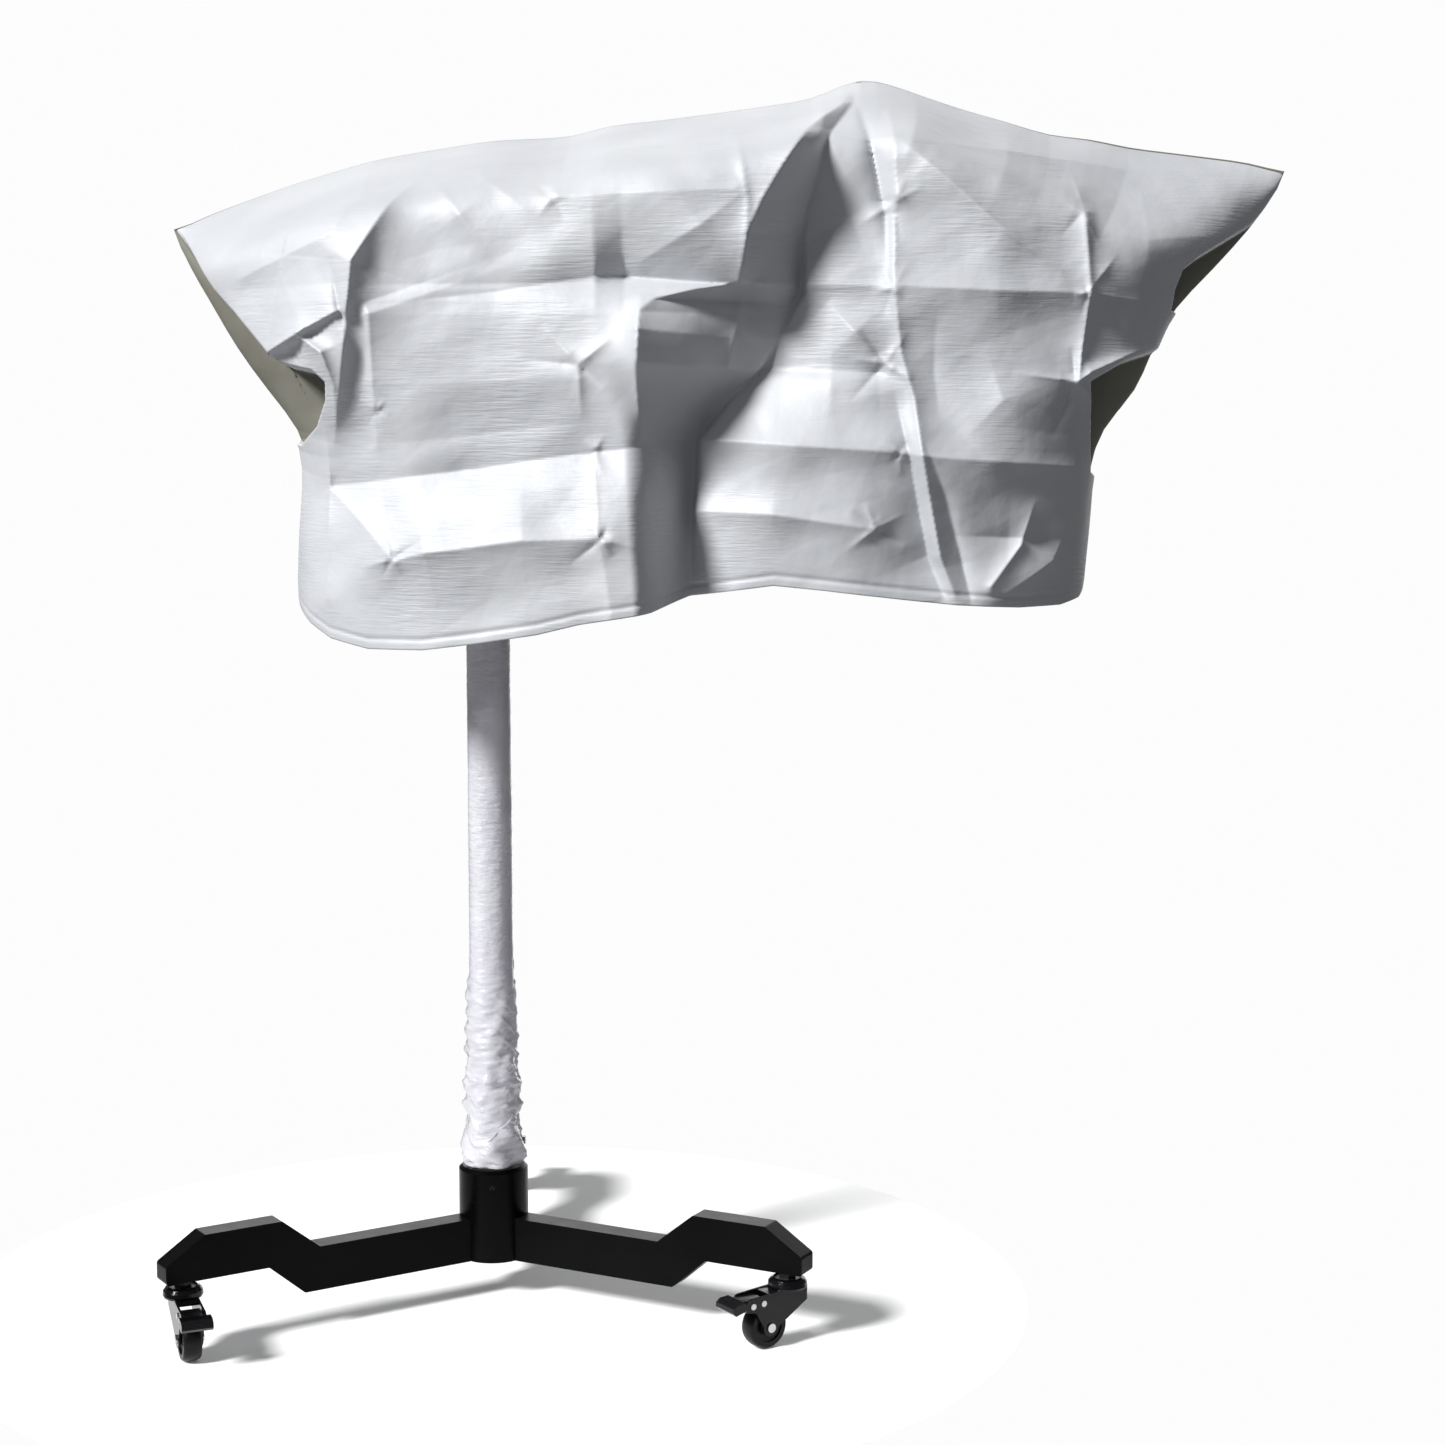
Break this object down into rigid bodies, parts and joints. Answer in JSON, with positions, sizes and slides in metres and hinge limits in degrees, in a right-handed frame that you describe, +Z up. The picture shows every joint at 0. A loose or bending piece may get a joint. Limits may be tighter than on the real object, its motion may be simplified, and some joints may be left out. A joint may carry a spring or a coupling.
{
  "type": "wheeled rotary clothesline under a dust cover",
  "caption": "Wheeled stand with a film-wrapped pole, a swinging boom and spinning clothesline head under a silver lift-off dust cover.",
  "frame": {"origin": "on the floor, on the axis of the pole", "axes": "+X along the boom from the pole to the mast, +Y from the front to the back, +Z up"},
  "size_m": [1.249, 0.7563, 1.3939],
  "materials": {
    "leg_coat": "black powder coat, satin, on cast aluminium",
    "hub_coat": "black powder coat, satin, on cast aluminium",
    "dark_steel": "black oxide",
    "zinc_bolt": "yellow-green zinc plate",
    "pole_paint": "white powder coat",
    "black_plastic": "moulded, satin",
    "bright_steel": "turned",
    "bearing_plastic": "acetal",
    "boom_paint": "light grey powder coat",
    "wrap_film": "clear stretch film over white, crinkled",
    "line_cord": "plastic-coated cord",
    "cover_cloth": "silver-coated polyester, satin",
    "caster_steel": "bright zinc",
    "caster_black": "black, semi-gloss",
    "caster_core": "black moulded",
    "caster_tyre": "smooth polyurethane tread"
  },
  "bodies": {
    "stand": {"base_hub": "hub_coat", "leg_left": "leg_coat", "leg_right": "leg_coat", "leg_back": "leg_coat", "leg_bolts": "dark_steel", "hub_set_screws": "dark_steel", "pole_tube": "pole_paint", "pole_foot_plug": "black_plastic", "pole_bolt": "zinc_bolt", "pole_film": "wrap_film", "pole_top_bush": "black_plastic", "pole_spindle": "bright_steel", "caster_left_stem": "dark_steel", "caster_right_stem": "dark_steel", "caster_back_stem": "dark_steel"},
    "boom": {"boom_collar": "black_plastic", "collar_bushes": "bearing_plastic", "thrust_washer": "bearing_plastic", "collar_cap": "black_plastic", "boom_tube": "boom_paint", "boom_end_cap": "black_plastic", "boom_screws": "dark_steel", "mast_socket": "black_plastic", "mast": "bright_steel", "mast_finial": "black_plastic", "mast_circlip": "bright_steel"},
    "clamp_knob": {"lock_knob": "black_plastic", "lock_stud": "bright_steel"},
    "line_head": {"rotor_hub": "black_plastic", "rotor_bush": "bearing_plastic", "arm_1": "boom_paint", "arm_2": "boom_paint", "arm_3": "boom_paint", "arm_4": "boom_paint", "arm_end_caps": "black_plastic", "rotor_screws": "bright_steel", "line_inner": "line_cord", "line_middle": "line_cord", "line_outer": "line_cord", "line_clips": "black_plastic"},
    "cover_body": {"cover": "cover_cloth"},
    "left_swivel": {"caster_left_housing": "caster_black", "caster_left_axle": "caster_steel", "caster_left_rivets": "caster_steel"},
    "left_wheel": {"caster_left_tyre": "caster_tyre", "caster_left_core": "caster_core"},
    "left_pedal": {"caster_left_brake_pedal": "caster_black"},
    "right_swivel": {"caster_right_housing": "caster_black", "caster_right_axle": "caster_steel", "caster_right_rivets": "caster_steel"},
    "right_wheel": {"caster_right_tyre": "caster_tyre", "caster_right_core": "caster_core"},
    "right_pedal": {"caster_right_brake_pedal": "caster_black"},
    "back_swivel": {"caster_back_housing": "caster_black", "caster_back_axle": "caster_steel", "caster_back_rivets": "caster_steel"},
    "back_wheel": {"caster_back_tyre": "caster_tyre", "caster_back_core": "caster_core"},
    "back_pedal": {"caster_back_brake_pedal": "caster_black"}
  },
  "joints": [
    {"name": "boom_turn", "type": "hinge", "parent": "stand", "child": "boom", "pos_m": [0, 0, 1.18], "axis": [0, 0, 1], "continuous": true},
    {"name": "knob_turn", "type": "hinge", "parent": "boom", "child": "clamp_knob", "pos_m": [0, -0.05, 1.1793], "axis": [0, -1, 0], "range_deg": [-180, 0]},
    {"name": "head_spin", "type": "hinge", "parent": "boom", "child": "line_head", "pos_m": [0.42, 0, 1.274], "axis": [0, 0, 1], "continuous": true},
    {"name": "cover_lift", "type": "slide", "parent": "boom", "child": "cover_body", "axis": [0, 0, 1], "range_m": [0, 0.66]},
    {"name": "left_swivel_turn", "type": "hinge", "parent": "stand", "child": "left_swivel", "pos_m": [-0.32062, -0.20583, 0.065], "axis": [0, 0, 1], "continuous": true},
    {"name": "left_wheel_spin", "type": "hinge", "parent": "left_swivel", "child": "left_wheel", "pos_m": [-0.30863, -0.2355, 0.025], "axis": [-0.9272, -0.3746, 0], "continuous": true},
    {"name": "left_pedal_press", "type": "hinge", "parent": "left_swivel", "child": "left_pedal", "pos_m": [-0.30488, -0.24477, 0.0542], "axis": [0.9272, 0.3746, 0], "range_deg": [0, 12]},
    {"name": "right_swivel_turn", "type": "hinge", "parent": "stand", "child": "right_swivel", "pos_m": [0.33856, -0.17475, 0.065], "axis": [0, 0, 1], "continuous": true},
    {"name": "right_wheel_spin", "type": "hinge", "parent": "right_swivel", "child": "right_wheel", "pos_m": [0.31235, -0.1931, 0.025], "axis": [-0.5736, 0.8192, 0], "continuous": true},
    {"name": "right_pedal_press", "type": "hinge", "parent": "right_swivel", "child": "right_pedal", "pos_m": [0.30416, -0.19884, 0.0542], "axis": [0.5736, -0.8192, 0], "range_deg": [0, 12]},
    {"name": "back_swivel_turn", "type": "hinge", "parent": "stand", "child": "back_swivel", "pos_m": [-0.01795, 0.38058, 0.065], "axis": [0, 0, 1], "continuous": true},
    {"name": "back_wheel_spin", "type": "hinge", "parent": "back_swivel", "child": "back_wheel", "pos_m": [-0.01683, 0.41256, 0.025], "axis": [0.9994, -0.0349, 0], "continuous": true},
    {"name": "back_pedal_press", "type": "hinge", "parent": "back_swivel", "child": "back_pedal", "pos_m": [-0.01648, 0.42255, 0.0542], "axis": [-0.9994, 0.0349, 0], "range_deg": [0, 12]}
  ]
}
